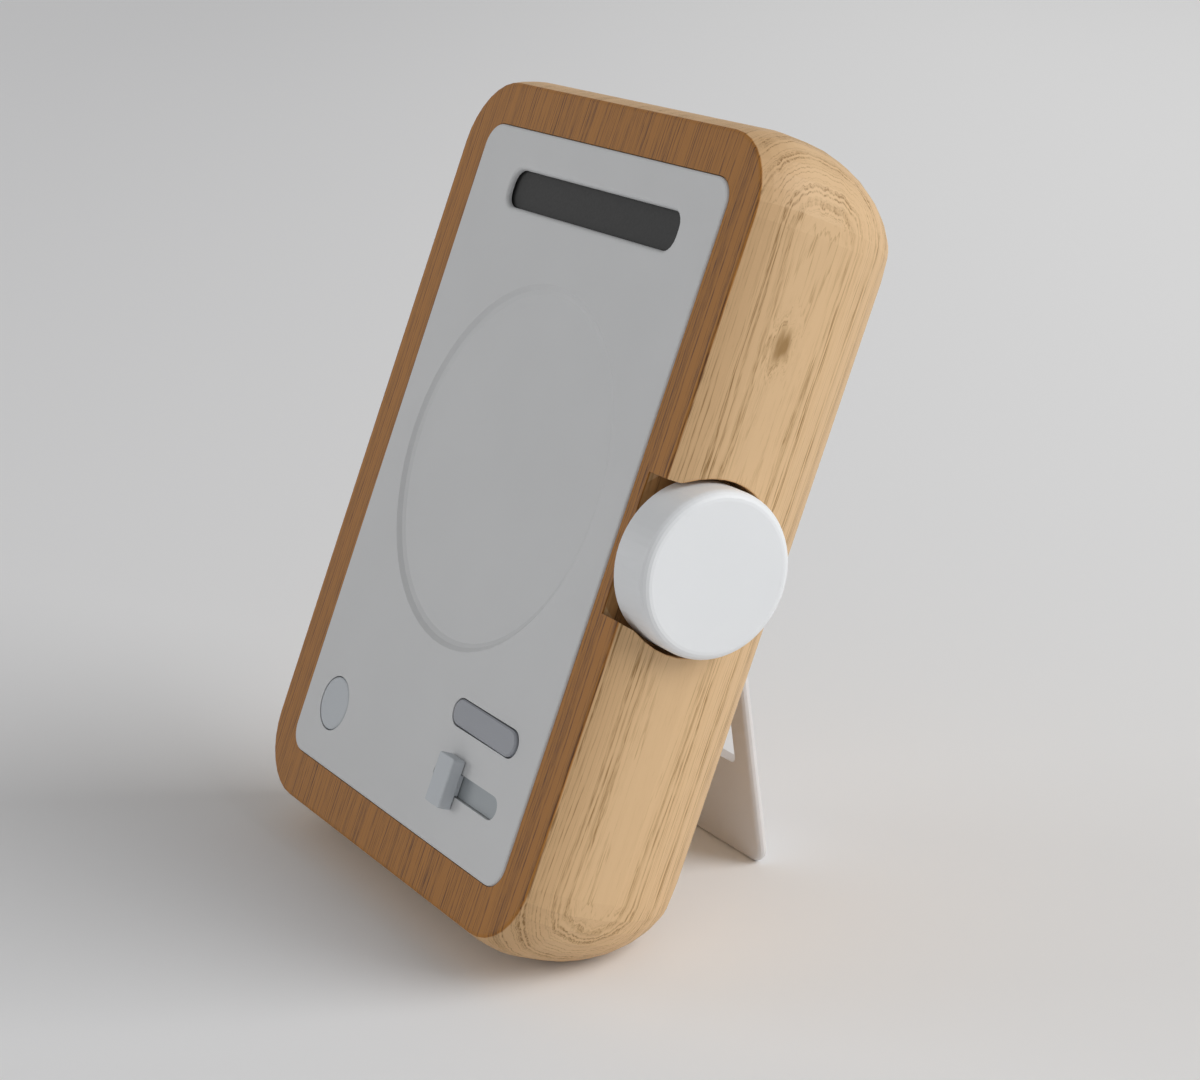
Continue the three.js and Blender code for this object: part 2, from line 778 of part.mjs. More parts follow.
// The strip let into the track's floor; the runners slide over it.
function trackLiner() {
  const outline = pill(trackLength - 2 * linerGap, trackHeight - 2 * linerGap);
  return prism(outline, linerBack, trackFloor, 8).translate(controlsX, trackY, 0);
}

function slideKeeper() {
  const keeperFront = panelBack - seatGap;
  const strip = prism(pill(trackLength, trackHeight), keeperFront - keeperThickness, keeperFront, 6);
  return strip.translate(controlsX, trackY, 0);
}

function slideSensor() {
  const base = keyBoardFront + seatGap;
  return block(trackLength - 1, 3, base, base + sensorThickness).translate(controlsX, trackY, 0);
}

function keyBoard() {
  const back = keyBoardFront - keyBoardThickness;
  const shape = roundedRectangle(keyBoardWidth, keyBoardHeight, cavityCornerRadius - trayGap);
  const plate = prism(shape, back, keyBoardFront).translate(0, keyBoardY, 0);
  const hole = () => rod(stakeRadius + seatGap, back - 1, keyBoardFront + 1, 10);
  return cut(plate, ...copies(stakePlaces, hole));
}

// The exciter shakes the thin floor of the dish, so the panel itself sounds.
function soundExciter() {
  return turned([
    [0, exciterBack],
    [exciterRadius - 4, exciterBack],
    [exciterRadius - 3, exciterBack + 3],
    [exciterRadius, exciterBack + 3.4],
    [exciterRadius, exciterFront - 1.2],
    [padRadius, exciterFront - 0.8],
    [padRadius, exciterFront],
    [0, exciterFront],
  ], 28).translate(0, dishY, 0);
}

function exciterPad() {
  const ring = rod(padRadius, padBack, padFront, 28);
  return cut(ring, rod(padBore, padBack - 1, padFront + 1, 24)).translate(0, dishY, 0);
}

function mainBoard() {
  const shape = roundedRectangle(boardWidth, boardHeight, 2);
  const plate = prism(shape, boardBack, boardFront);
  const hole = () => rod(stakeRadius + seatGap, boardBack - 1, boardFront + 1, 10);
  return cut(plate, ...copies(standoffPlaces, hole));
}

function chip(width, height, thickness, x, y) {
  const base = boardFront + seatGap;
  return block(width, height, base, base + thickness).translate(x, y, 0);
}

// The tray slips over the posts; it carries the board and frames the battery.
function batteryTray() {
  const width = cavityWidth - 2 * trayGap;
  const height = cavityHeight - 2 * trayGap;
  const floorShape = roundedRectangle(width, height, cavityCornerRadius - trayGap);
  const floor = prism(floorShape, trayBack, trayFront).translate(0, panelRise, 0);
  const frameWidth = batteryWidth + 2 * seatGap;
  const frameHeight = batteryHeight + 2 * seatGap;
  const frame = cut(
    block(frameWidth + 2 * trayFrameWall, frameHeight + 2 * trayFrameWall, trayBack - trayFrameHeight, trayFront - 0.4),
    block(frameWidth, frameHeight, trayBack - trayFrameHeight - 1, trayBack),
  );
  const standoff = () => turned([
    [0, trayFront - 0.5],
    [standoffRadius, trayFront - 0.5],
    [standoffRadius, trayFront + standoffHeight],
    [stakeRadius, trayFront + standoffHeight],
    [stakeRadius, boardFront + 0.6],
    [0, boardFront + 0.6],
  ], 10);
  const collar = () => rod(postNeckRadius + seatGap, trayBack - 1, trayFront + 1, 14);
  const cableSlot = () => prism(pill(12, 4), trayBack - 1, trayFront + 1, 5);
  const slotPlaces = [
    [0, panelRise + height / 2 - 20],
    [0, panelRise - height / 2 + 10.5],
  ];
  const body = join(floor, frame.translate(0, batteryRise, 0), ...copies(standoffPlaces, standoff));
  return cut(
    body,
    ...copies(postPlaces, collar),
    ...copies(slotPlaces, cableSlot),
  );
}

function batteryCell() {
  const shape = roundedRectangle(batteryWidth, batteryHeight, 1.5);
  return softPrism(shape, batteryBack, batteryFront, 1.2, 2, 1).translate(0, batteryRise, 0);
}

function batteryFoam() {
  const shape = roundedRectangle(batteryWidth - 6, batteryHeight - 18, 2);
  return prism(shape, foamBack, foamFront).translate(0, batteryRise - 6, 0);
}

function caseScrew() {
  const seat = caseBack + screwSeatDepth - seatGap;
  const driveDepth = 1;
  const screw = turned([
    [0, seat - screwHeadHeight],
    [screwHeadRadius - 0.7, seat - screwHeadHeight],
    [screwHeadRadius, seat - screwHeadHeight + 0.9],
    [screwHeadRadius, seat],
    [screwRadius - 0.35, seat],
    [screwRadius - 0.35, seat + screwLength - 1],
    [0, seat + screwLength],
  ], 12);
  const driveEnd = seat - screwHeadHeight + driveDepth;
  return cut(screw, block(0.8, 2.8, -99, driveEnd), block(2.8, 0.8, -99, driveEnd));
}

function chargePort() {
  const board = cavityFloor - seatGap - portBoardThickness;
  const inner = board - seatGap;
  const outer = inner - portLength;
  const shell = prism(pill(portWidth, portHeight), outer, inner, 8);
  const mouth = pill(portWidth - 2 * portShell, portHeight - 2 * portShell);
  const hollow = prism(mouth, outer - 1, inner - 0.8, 8);
  const tongue = block(portWidth - 2.6, 0.7, outer + 0.8, inner - 0.4);
  return join(cut(shell, hollow), tongue).translate(0, portY, 0);
}

function portBoard() {
  const front = cavityFloor - seatGap;
  return block(portBoardWidth, portBoardHeight, front - portBoardThickness, front).translate(0, portY, 0);
}

// Dial pieces are drawn along z and turned to lie on the dial's own axis.
function dShape(radius, flat) {
  const half = Math.acos((radius - flat) / radius);
  const shape = new THREE.Shape();
  shape.absarc(0, 0, radius, half, 2 * Math.PI - half);
  shape.closePath();
  return shape;
}

function dialKnob() {
  const profile = [[0, dialInnerX], [dialRadius - 0.4, dialInnerX], [dialRadius, dialInnerX + 0.4]];
  const edgeSteps = 5;
  for (let step = 0; step <= edgeSteps; step += 1) {
    const angle = (step / edgeSteps) * (Math.PI / 2);
    const radius = dialRadius - dialEdgeRound * (1 - Math.cos(angle));
    profile.push([radius, dialOuterX - dialEdgeRound * (1 - Math.sin(angle))]);
  }
  profile.push([0, dialOuterX]);
  const hollow = turned([
    [0, dialInnerX - 1],
    [dialHollowRadius, dialInnerX - 1],
    [dialHollowRadius, dialHollowX],
    [0, dialHollowX],
  ], 28);
  const boreEnd = dialOuterX - dialBoreEnd + seatGap;
  const bore = prism(dShape(shaftRadius + seatGap, shaftFlat), dialHollowX - 1, boreEnd, 14);
  return alongX(cut(turned(profile, 64), hollow, bore));
}

function dialShaft() {
  const start = encoderFace - encoderDepth + 1.5;
  const flatStart = dialHollowX - 1;
  const end = dialOuterX - dialBoreEnd;
  const round = rod(shaftRadius, start, flatStart + 0.5, 20);
  return alongX(join(round, prism(dShape(shaftRadius, shaftFlat), flatStart, end, 14)));
}

function dialEncoder() {
  const body = block(encoderWidth, encoderHeight, encoderFace - encoderDepth, encoderFace);
  const bushing = rod(bushingRadius, encoderFace - 1, pocketFloorX + bushingLength, 24);
  const bore = rod(shaftRadius + runningGap, encoderFace - encoderDepth + 1.2, dialOuterX, 24);
  return alongX(cut(join(body, bushing), bore));
}

function dialNut() {
  const start = pocketFloorX + seatGap;
  const hexagon = rod(nutAcross / Math.sqrt(3), start, start + nutThickness, 6);
  return alongX(cut(hexagon, rod(bushingRadius + runningGap, start - 1, start + 9, 24)));
}

// Stand pieces are drawn folded, about the hinge pin: y up, z to the front.
function kickstand() {
  const outer = standOuter - hingeZ;
  const inner = standInner - hingeZ;
  const half = standWidth / 2;
  const shoulderY = -hingePinRadius - standShoulder;
  const foot = -standReach;
  const shape = new THREE.Shape();
  shape.moveTo(barrelHalf, heelLength);
  shape.lineTo(-barrelHalf, heelLength);
  shape.lineTo(-barrelHalf, shoulderY);
  shape.absarc(-half + 1.5, shoulderY - 1.5, 1.5, 0.5 * Math.PI, Math.PI);
  shape.absarc(-half + standCornerRadius, foot + standCornerRadius, standCornerRadius, Math.PI, 1.5 * Math.PI);
  shape.absarc(half - standCornerRadius, foot + standCornerRadius, standCornerRadius, 1.5 * Math.PI, 2 * Math.PI);
  shape.absarc(half - 1.5, shoulderY - 1.5, 1.5, 0, 0.5 * Math.PI);
  shape.lineTo(barrelHalf, shoulderY);
  shape.closePath();
  const windowLow = foot + standWindowLow;
  const windowHeight = -standWindowTop - windowLow;
  const opening = roundedRectangle(standWindowWidth, windowHeight, standWindowRadius);
  const hole = prism(opening, outer - 1, inner + 1).translate(0, windowLow + windowHeight / 2, 0);
  const barrel = alongX(rod(knuckleRadius, -barrelHalf, barrelHalf, 20));
  const bore = alongX(rod(hingePinRadius + 0.15, -bracketLength, bracketLength, 16));
  const plate = softPrism(shape, outer, inner, standEdgeRound, 4, 3);
  return cut(join(plate, barrel), hole, bore);
}

// A steel plate with an ear at each end that carries the hinge pin.
function hingeBracket() {
  const face = bracketFace - hingeZ;
  const plate = block(bracketLength, bracketHeight, face, bracketBack - hingeZ);
  plate.translate(0, bracketTop - hingeY - bracketHeight / 2, 0);
  const ears = [-1, 1].map((side) => {
    const x = side * (bracketLength / 2 - earThickness / 2);
    const round = alongX(rod(earRadius, -earThickness / 2, earThickness / 2, 20));
    const web = block(earThickness, 2 * earRadius, 0, face + 0.5);
    return join(round, web).translate(x, 0, 0);
  });
  const pinHole = alongX(rod(hingePinRadius + 0.1, -bracketLength, bracketLength, 16));
  const screwHoles = [-bracketScrewX, bracketScrewX].map((x) => rod(bracketScrewRadius + 0.15, -9, 9, 12)
    .translate(x, bracketScrewY - hingeY, 0));
  return cut(join(plate, ...ears), pinHole, ...screwHoles);
}

function hingePin() {
  return alongX(rod(hingePinRadius, -bracketLength / 2 - 0.1, bracketLength / 2 + 0.1, 16));
}

function hingeWasher(side) {
  const middle = side * (barrelHalf + runningGap + washerThickness / 2);
  const disc = rod(earRadius - 0.4, middle - washerThickness / 2, middle + washerThickness / 2);
  return alongX(cut(disc, rod(hingePinRadius + 0.1, -bracketLength, bracketLength, 16)));
}

function bracketScrew() {
  const seat = bracketFace - seatGap;
  const screw = turned([
    [0, seat - bracketScrewHead],
    [bracketScrewHeadRadius - 0.5, seat - bracketScrewHead],
    [bracketScrewHeadRadius, seat - bracketScrewHead + 0.6],
    [bracketScrewHeadRadius, seat],
    [bracketScrewRadius - 0.2, seat],
    [bracketScrewRadius - 0.2, bracketScrewTip - 0.5],
    [0, bracketScrewTip],
  ], 12);
  return cut(screw, block(0.5, 2, -99, seat - bracketScrewHead + 0.6));
}

// Assembly.
const timer = new THREE.Group();
timer.name = 'meditation_timer';
const rockerGroup = new THREE.Group();
const rockerTilt = new THREE.Group();
const sliderGroup = new THREE.Group();
const dialGroup = new THREE.Group();
const hingeGroup = new THREE.Group();
const standGroup = new THREE.Group();
timer.add(rockerGroup, sliderGroup, dialGroup, hingeGroup);
rockerGroup.add(rockerTilt);
hingeGroup.add(standGroup);

function add(name, geometry, material, parent = timer, x = 0, y = 0, z = 0) {
  const mesh = new THREE.Mesh(geometry, material);
  mesh.name = name;
  mesh.position.set(x, y, z);
  parent.add(mesh);
}

add('wood_case', woodCase(), wood);
add('front_panel', frontPanel(), panelAbs);
add('display_window', displayWindow(), smokedAcrylic);
add('display_module', displayModule(), blackPlastic);
add('start_button', startButton(), keyAbs);
add('start_switch', startSwitch(), blackPlastic);

rockerGroup.position.set(controlsX, rockerY, rockerPivotZ);
rockerTilt.rotation.y = -rockerRestTilt;
add('mode_rocker', modeRocker(), keyAbs, rockerTilt);
add('rocker_mount', rockerMount(), nylon, rockerGroup);
add('rocker_pin', rockerPin(), steel, rockerGroup);
add('rocker_switch_left', detectorSwitch(), blackPlastic, timer, controlsX - rockerArm, rockerY, 0);
add('rocker_switch_right', detectorSwitch(), blackPlastic, timer, controlsX + rockerArm, rockerY, 0);

sliderGroup.position.set(trackLeft + sliderStart, trackY, 0);
add('volume_slider', slideKnob(), keyAbs, sliderGroup);
add('slider_magnet', slideMagnet(), nickel, sliderGroup);
add('track_liner', trackLiner(), linerAbs);
add('slider_keeper', slideKeeper(), steel);
add('slider_sensor', slideSensor(), blackPlastic);
add('key_board', keyBoard(), epoxyBoard);

dialGroup.position.set(0, dialRise, -dialDepth);
add('dial_knob', dialKnob(), knobAbs, dialGroup);
add('dial_shaft', dialShaft(), satinAluminium, dialGroup);
add('dial_encoder', dialEncoder(), blackPlastic, dialGroup);
add('dial_nut', dialNut(), brass, dialGroup);

add('sound_exciter', soundExciter(), blackPlastic);
add('exciter_pad', exciterPad(), foam);
add('main_board', mainBoard(), epoxyBoard);
add('control_chip', chip(9, 9, 1, 0, 27), blackPlastic);
add('amplifier_chip', chip(6, 6, 1, 0, -24), blackPlastic);
add('battery_tray', batteryTray(), trayAbs);
add('battery_cell', batteryCell(), foil);
add('battery_foam', batteryFoam(), foam);
add('charge_port', chargePort(), steel);
add('port_board', portBoard(), epoxyBoard);
postPlaces.forEach(([x, y], number) => add(`case_screw_${number + 1}`, caseScrew(), steel, timer, x, y, 0));

hingeGroup.position.set(0, hingeY, hingeZ);
standGroup.rotation.x = standOpen;
add('kickstand', kickstand(), whitePaint, standGroup);
add('hinge_bracket', hingeBracket(), steel, hingeGroup);
add('hinge_pin', hingePin(), steel, hingeGroup);
add('washer_left', hingeWasher(-1), nylon, hingeGroup);
add('washer_right', hingeWasher(1), nylon, hingeGroup);
bracketScrewPlaces.forEach(([x, y], number) => {
  add(`bracket_screw_${number + 1}`, bracketScrew(), steel, timer, x, y, 0);
});

// Lean the timer back, then put the origin under its middle, on the floor.
timer.rotation.x = Math.PI / 2 - leanAngle;
timer.updateMatrixWorld(true);
const bounds = new THREE.Box3().setFromObject(timer, true);
const middle = bounds.getCenter(new THREE.Vector3());
timer.position.set(-middle.x, -middle.y, -bounds.min.z);

const group = new THREE.Group();
group.add(timer);
group.updateMatrixWorld(true);

export default group;
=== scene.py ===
# %% [markdown]
# # A wooden meditation timer
# The timer is a palm-sized wooden case that leans back on a kickstand. Its parts come in as
# finished solids, already in place, so these cells give each part its real finish, set the
# desk and the light, and put the camera where the photograph was taken from.

import json
import math
from collections import Counter

import bpy
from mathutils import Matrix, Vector


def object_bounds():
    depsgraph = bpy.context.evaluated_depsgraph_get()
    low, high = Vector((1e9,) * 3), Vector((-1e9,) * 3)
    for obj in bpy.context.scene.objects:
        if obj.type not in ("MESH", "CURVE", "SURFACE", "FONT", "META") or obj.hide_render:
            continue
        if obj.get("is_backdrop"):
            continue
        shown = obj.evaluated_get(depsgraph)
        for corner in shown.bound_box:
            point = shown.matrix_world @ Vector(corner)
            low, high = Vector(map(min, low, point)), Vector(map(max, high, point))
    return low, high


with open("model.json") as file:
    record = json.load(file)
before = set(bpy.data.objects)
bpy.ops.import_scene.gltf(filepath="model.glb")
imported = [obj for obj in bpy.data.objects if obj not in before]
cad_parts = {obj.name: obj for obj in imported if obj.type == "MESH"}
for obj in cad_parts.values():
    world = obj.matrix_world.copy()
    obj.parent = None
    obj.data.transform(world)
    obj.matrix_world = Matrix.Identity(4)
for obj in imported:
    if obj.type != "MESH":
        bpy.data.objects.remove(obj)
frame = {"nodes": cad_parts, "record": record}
NODES = frame["nodes"]
MM = 0.001
cad_box = [list(corner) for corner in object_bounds()]
cad_size = [round((high - low) / MM, 1) for low, high in zip(*cad_box)]
print("parts:", len(NODES), "size in mm:", cad_size)


# %% [markdown]
# ## Colours
# A maker writes a colour as a hex value picked from a sample. Such a value is coded for a
# screen (sRGB), while the renderer adds light in linear numbers. One function turns one into
# the other, so every colour below can stay in the form that a person would read.

# %% Hex to linear colour
def linear(hex_colour):
    channels = [int(hex_colour[i:i + 2], 16) / 255 for i in (1, 3, 5)]
    curve = [c / 12.92 if c <= 0.04045 else ((c + 0.055) / 1.055) ** 2.4 for c in channels]
    return (*curve, 1.0)


print("mid grey in light:", [round(c, 3) for c in linear("#808080")[:3]])


# %% [markdown]
# ## One helper for nodes
# A material is a small graph. Every node in it needs the same three things: a type, a few
# settings, and something in its inputs, which is either a plain value or a link from another
# node. One function covers all of them and gives back the socket that the next node reads, so
# each recipe below is a list of steps.
#
# The mix node keeps a set of sockets for each kind of data. The four numbers are the places of
# its colour sockets.

# %% Add a node, set it and link it
MIX_FACTOR, MIX_FIRST, MIX_SECOND, MIX_RESULT = 0, 6, 7, 2


def set_inputs(tree, node, inputs):
    for key, value in inputs.items():
        socket = node.inputs[key]
        if isinstance(value, bpy.types.NodeSocket):
            tree.links.new(value, socket)
        else:
            socket.default_value = value


def add(tree, kind, inputs=None, output=0, **settings):
    node = tree.nodes.new(kind)
    for name, value in settings.items():
        setattr(node, name, value)
    set_inputs(tree, node, inputs or {})
    return node.outputs[output]


def new_material(name):
    material = bpy.data.materials.new(name)
    material.use_nodes = True
    tree = material.node_tree
    return material, tree, tree.nodes["Principled BSDF"]


print("colour sockets of a mix node:", MIX_FACTOR, MIX_FIRST, MIX_SECOND, "to", MIX_RESULT)

# %% [markdown]
# ## Directions in the leaning case
# The case leans back, so its long side isn't vertical. Grain and moulding texture follow the
# case and not the room. Texture maps could be unwrapped by hand for each part. It is simpler to
# turn the room's coordinates by the lean and to move their start to the middle of the wood's
# front face, which gives x across the case, y up along it and z out of its front. They are then
# scaled, so that one unit of the pattern is a real length in millimetres in each direction.

# %% Coordinates that follow the case
LEAN = math.radians(21.5)
SHIFT_TO_FACE = (2.05 * MM, -54.02 * MM, -35.82 * MM)


def case_coordinates(tree, across_mm, along_mm, deep_mm):
    place = add(tree, "ShaderNodeTexCoord", output="Object")
    upright = {"Vector": place, "Rotation": (LEAN - math.pi / 2, 0, 0), "Location": SHIFT_TO_FACE}
    turned = add(tree, "ShaderNodeMapping", upright)
    scale = [1 / (length * MM) for length in (across_mm, along_mm, deep_mm)]
    return add(tree, "ShaderNodeMapping", {"Vector": turned, "Scale": scale})


print("the case leans back by", round(math.degrees(LEAN), 1), "degrees")

# %% [markdown]
# ## The knot
# A knot is where a branch grew out through the rings. It could be drawn as a dark spot, but the
# lines of the wood would then run straight through it. Here the distance from the middle of the
# branch is measured instead, and both the rings and the dark spot read it. A branch grows away
# from the pith, so it runs right across the case and comes out on both sides. The knot is longer
# than it is wide, and a little noise tears its edge.

# %% Distance from the knot
KNOT_UP = 33.4
KNOT_DEEP = -10.5
KNOT_STRETCH = 1.9
KNOT_RAGGED = 2.4
KNOT_TEAR_MM = (1.4, 5, 1.0)


def knot_distance(tree, place):
    squeeze = {0: place, 1: (0, 1 / KNOT_STRETCH, 1)}
    squeezed = add(tree, "ShaderNodeVectorMath", squeeze, operation="MULTIPLY")
    ends = {0: squeezed, 1: (0, KNOT_UP / KNOT_STRETCH, KNOT_DEEP)}
    away = add(tree, "ShaderNodeVectorMath", ends, "Value", operation="DISTANCE")
    torn = {"Vector": case_coordinates(tree, *KNOT_TEAR_MM), "Scale": 1.0, "Roughness": 0.6}
    ragged = add(tree, "ShaderNodeTexNoise", torn)
    bent = {0: ragged, 1: KNOT_RAGGED, 2: away}
    return add(tree, "ShaderNodeMath", bent, operation="MULTIPLY_ADD")


print("the knot is", KNOT_UP, "mm above the middle,", -KNOT_DEEP, "mm behind the front")

# %% [markdown]
# ## Growth rings as a solid pattern
# A tree grows in rings round its pith, so the rings in a board are long tubes. The case is taken
# to be sawn from a board whose pith lay a little way outside its right side. The front then cuts
# the tubes nearly square and shows fine straight lines. The right side only brushes them: it
# shows lines near its two edges, long broken streaks in its middle, and nested curves where a
# corner turns away.
#
# Lines could be painted on each face, but it is hard to make them meet at the edges. A solid
# pattern gives each face what a saw would find there. The distance from the pith picks the
# ring. A slow wave and a short one bend that distance, and near the knot, where the rings
# bulge, it gets a smooth hump, so the lines flow round the knot by themselves.

# %% Distance from the pith
PITH_ACROSS = 67.0
PITH_DEEP = -12.5
SLOW_BEND = 2.6
SLOW_WAVE_MM = (30, 85, 14)
SHORT_BEND = 0.85
SHORT_WAVE_MM = (7, 24, 1.15)
KNOT_EDGE = 1.2
KNOT_REACH = 3.6
KNOT_HUMP = 0.9


def ring_distance(tree, place, knot_away):
    flat = add(tree, "ShaderNodeVectorMath", {0: place, 1: (1, 0, 1)}, operation="MULTIPLY")
    ends = {0: flat, 1: (PITH_ACROSS, 0, PITH_DEEP)}
    straight = add(tree, "ShaderNodeVectorMath", ends, "Value", operation="DISTANCE")

    slow = {"Vector": case_coordinates(tree, *SLOW_WAVE_MM), "Scale": 1.0, "Detail": 1.0}
    slow_wave = add(tree, "ShaderNodeTexNoise", slow)
    curved = {0: slow_wave, 1: SLOW_BEND, 2: straight}
    bent = add(tree, "ShaderNodeMath", curved, operation="MULTIPLY_ADD")

    short = {"Vector": case_coordinates(tree, *SHORT_WAVE_MM), "Scale": 1.0}
    short_wave = add(tree, "ShaderNodeTexNoise", {**short, "Detail": 3.0, "Roughness": 0.6})
    wavy = {0: short_wave, 1: SHORT_BEND, 2: bent}
    rippled = add(tree, "ShaderNodeMath", wavy, operation="MULTIPLY_ADD")

    near_knot = {"Value": knot_away, "From Min": KNOT_EDGE, "From Max": KNOT_EDGE + KNOT_REACH}
    bulge = {**near_knot, "To Min": KNOT_HUMP, "To Max": 0.0}
    hump = add(tree, "ShaderNodeMapRange", bulge, interpolation_type="SMOOTHSTEP")
    return add(tree, "ShaderNodeMath", {0: rippled, 1: hump}, operation="ADD")


room_right = max(corner[0] for corner in NODES["wood_case"].bound_box)
case_right = (room_right + SHIFT_TO_FACE[0]) / MM
print("the pith lies", round(PITH_ACROSS - case_right, 1), "mm outside the case's right side")

# %% [markdown]
# ## Painted shade on the front
# The front is painted a deeper, warmer brown than the sides, with stronger lines. It is the same
# ash: the shade that falls on the front is painted into its colour. The painted shade changes
# sharply at the front edge, and a trace of it fades out over about ten millimetres of the side,
# where the side turns away from the light. Two materials could only meet in a hard line. One
# material with a mask can fade as well: the mask says how much painted shade each place gets,
# from 0 to 1.

# %% Mask of the painted shade on the front
FRONT_SHADE_FROM, FRONT_SHADE_TO = -0.5, -0.15
# How far the trace of painted shade reaches onto the side, and how strong it is there.
SIDE_SHADE_FROM = -10.0
SIDE_SHADE = 0.2


def front_shade(tree, deep):
    front_face = {"Value": deep, "From Min": FRONT_SHADE_FROM, "From Max": FRONT_SHADE_TO}
    edge = add(tree, "ShaderNodeMapRange", front_face, interpolation_type="SMOOTHSTEP")
    behind = {"Value": deep, "From Min": SIDE_SHADE_FROM, "From Max": FRONT_SHADE_FROM, "To Max": SIDE_SHADE}
    side_shade_trace = add(tree, "ShaderNodeMapRange", behind, interpolation_type="SMOOTHSTEP")
    return add(tree, "ShaderNodeMath", {0: edge, 1: side_shade_trace}, operation="MAXIMUM")


print("painted shade reaches", -SIDE_SHADE_FROM, "mm back from the front edge")

# %% [markdown]
# ## Painted shade in the dial's pocket
# The walls of the dial's pocket are painted darker than the side round them: painted shade, for
# the shade that falls into the pocket. The walls all lie within one distance of the dial's axis,
# on the right half of the case, so that distance marks them out. The larger of the two masks then
# says how much painted shade a place gets.

# %% Mask of all the painted shade
DIAL_UP = 0.5
DIAL_DEEP = -9.6
POCKET_REACH = 13.2
POCKET_FADE = 0.3
# How much painted shade the pocket's walls get.
POCKET_SHADE = 0.65
RIGHT_FROM, RIGHT_TO = 20.0, 25.0


def pocket_shade(tree, place, across):
    sideways = add(tree, "ShaderNodeVectorMath", {0: place, 1: (0, 1, 1)}, operation="MULTIPLY")
    ends = {0: sideways, 1: (0, DIAL_UP, DIAL_DEEP)}
    dial_away = add(tree, "ShaderNodeVectorMath", ends, "Value", operation="DISTANCE")
    rim = {"From Min": POCKET_REACH - POCKET_FADE, "From Max": POCKET_REACH}
    wall = {"Value": dial_away, **rim, "To Min": POCKET_SHADE, "To Max": 0.0}
    near_dial = add(tree, "ShaderNodeMapRange", wall, interpolation_type="SMOOTHSTEP")
    right_half = {"Value": across, "From Min": RIGHT_FROM, "From Max": RIGHT_TO}
    dial_side = add(tree, "ShaderNodeMapRange", right_half, interpolation_type="SMOOTHSTEP")
    return add(tree, "ShaderNodeMath", {0: near_dial, 1: dial_side}, operation="MULTIPLY")


def painted_shade_mask(tree, place):
    axes = add(tree, "ShaderNodeSeparateXYZ", {"Vector": place}).node.outputs
    front = front_shade(tree, axes["Z"])
    pocket = pocket_shade(tree, place, axes["X"])
    return add(tree, "ShaderNodeMath", {0: front, 1: pocket}, operation="MAXIMUM")


print("pocket shade reaches", POCKET_REACH, "mm round the dial's axis")

# %% [markdown]
# ## Lines of open pores
# Ash grows a band of wide open pores each spring and denser wood in the summer. The pores show
# as dark lines. A pore is a short tube, about a quarter of a millimetre wide, so up close a line
# is broken along its length. Good and bad years come in groups, so the lines do too. Where the
# side only brushes a ring, its line grows faint and comes back a couple of centimetres on.
#
# Drawing each line as geometry would take thousands of fine grooves. A noise that runs along
# the ring distance draws them all at once. Its main ripple is a third of a millimetre wide, and
# only its crests become lines.

# %% Draw the lines
RIPPLES_PER_MM = 3.0
GROUPS_PER_MM = 0.45
GROUP_LIFT = 0.3
CREST_FROM, CREST_TO = 0.6, 0.81
PORE_MM = (0.25, 4.0, 0.25)
PORE_FROM, PORE_TO = 0.36, 0.62
BETWEEN_PORES = 0.25
STRETCH_MM = (4, 20, 2.6)
STRETCH_FROM, STRETCH_TO = 0.36, 0.56
FAINTEST = 0.5


def pore_lines(tree, ring, shade_painted):
    years = {"W": ring, "Scale": RIPPLES_PER_MM, "Detail": 4.0, "Roughness": 0.66}
    ripples = add(tree, "ShaderNodeTexNoise", years, noise_dimensions="1D")
    groups = {"W": ring, "Scale": GROUPS_PER_MM, "Detail": 1.0}
    clusters = add(tree, "ShaderNodeTexNoise", groups, noise_dimensions="1D")
    lifted = {0: clusters, 1: GROUP_LIFT, 2: ripples}
    gathered = add(tree, "ShaderNodeMath", lifted, operation="MULTIPLY_ADD")
    crests = {"Value": gathered, "From Min": CREST_FROM, "From Max": CREST_TO}
    spring_wood = add(tree, "ShaderNodeMapRange", crests, interpolation_type="SMOOTHSTEP")

    tubes = {"Vector": case_coordinates(tree, *PORE_MM), "Scale": 1.0, "Roughness": 0.6}
    pores = add(tree, "ShaderNodeTexNoise", tubes)
    gaps = {"Value": pores, "From Min": PORE_FROM, "From Max": PORE_TO, "To Min": BETWEEN_PORES}
    broken = add(tree, "ShaderNodeMapRange", gaps, interpolation_type="SMOOTHSTEP")

    reach = {"Vector": case_coordinates(tree, *STRETCH_MM), "Scale": 1.0, "Detail": 1.0}
    stretches = add(tree, "ShaderNodeTexNoise", reach)
    span = {"From Min": STRETCH_FROM, "From Max": STRETCH_TO, "To Min": FAINTEST}
    fading = {"Value": stretches, **span}
    faded = add(tree, "ShaderNodeMapRange", fading, interpolation_type="SMOOTHSTEP")
    kept = add(tree, "ShaderNodeMath", {0: faded, 1: shade_painted}, operation="MAXIMUM")
    dashed = add(tree, "ShaderNodeMath", {0: spring_wood, 1: broken}, operation="MULTIPLY")
    return add(tree, "ShaderNodeMath", {0: dashed, 1: kept}, operation="MULTIPLY")


print("pores are drawn", PORE_MM[0], "mm wide and", PORE_MM[1], "mm long")

# %% [markdown]
# ## The dark middle of the knot
# The branch's own wood is dense and dark. It needs no shape of its own, because the distance
# from the knot already says where it is. Where painted shade has darkened the wood already, the
# spot is held back by as much.

# %% Darken the knot
CORE_FROM = 0.2
CORE_TO = 2.0
CORE_DARK = 0.95


